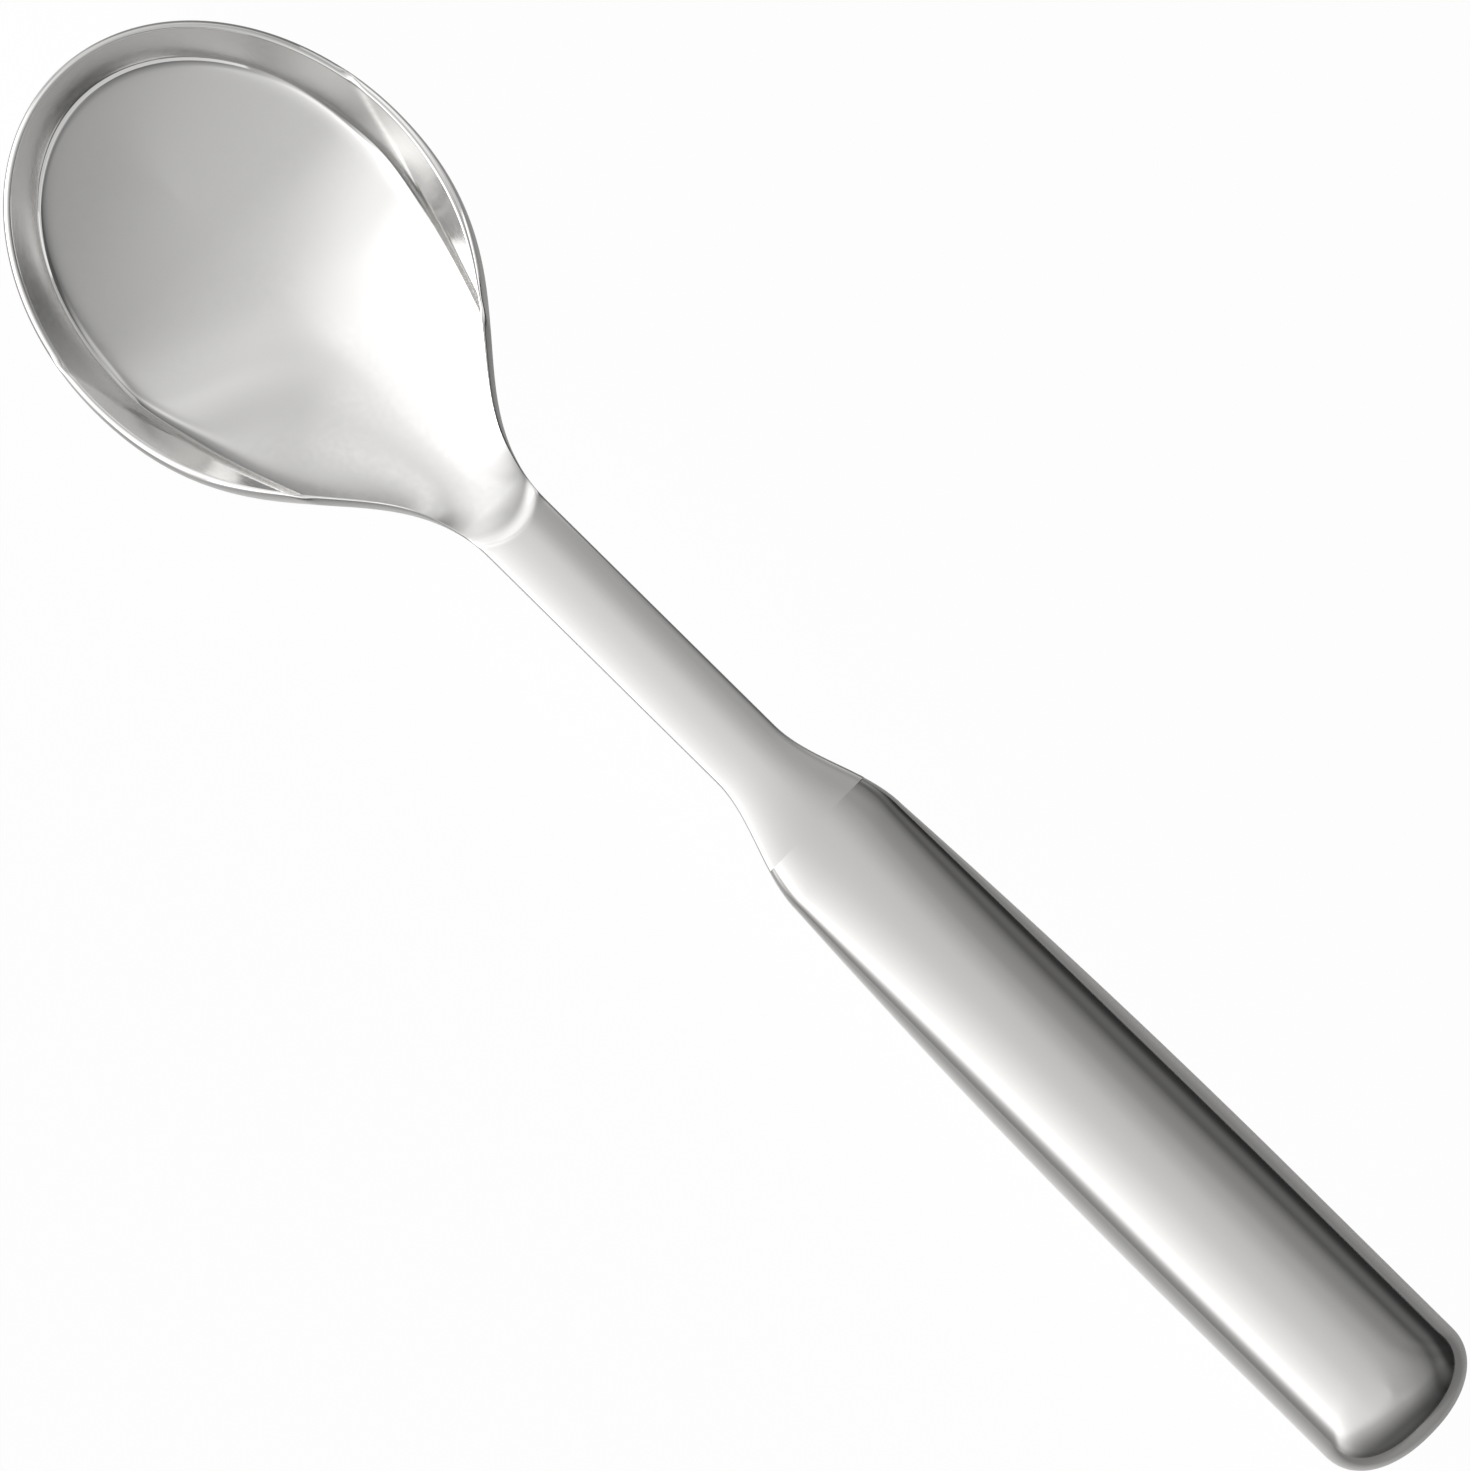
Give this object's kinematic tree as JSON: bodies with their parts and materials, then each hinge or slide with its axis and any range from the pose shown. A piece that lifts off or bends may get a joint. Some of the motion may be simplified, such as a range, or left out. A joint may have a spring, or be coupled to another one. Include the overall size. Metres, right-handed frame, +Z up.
{
  "type": "serving spoon",
  "caption": "Stainless serving spoon with a broad polished oval bowl, a narrow brushed shank and a thick hollow welded handle",
  "frame": {"origin": "the middle of the spoon's length and width, on the surface that it lies on", "axes": "+X runs from the tip of the bowl to the end of the handle, +Z is up out of the bowl, +Y is to the left of someone looking along +X"},
  "size_m": [0.292, 0.0644, 0.0167],
  "materials": {
    "polished_steel": "polished",
    "brushed_shell": "satin",
    "weld_steel": "satin",
    "bed_resin": "matte"
  },
  "bodies": {
    "root": {"spoon_head": "polished_steel", "handle_top_shell": "brushed_shell", "handle_bottom_shell": "brushed_shell", "seam_weld": "weld_steel", "tang_bed": "bed_resin"}
  },
  "joints": []
}
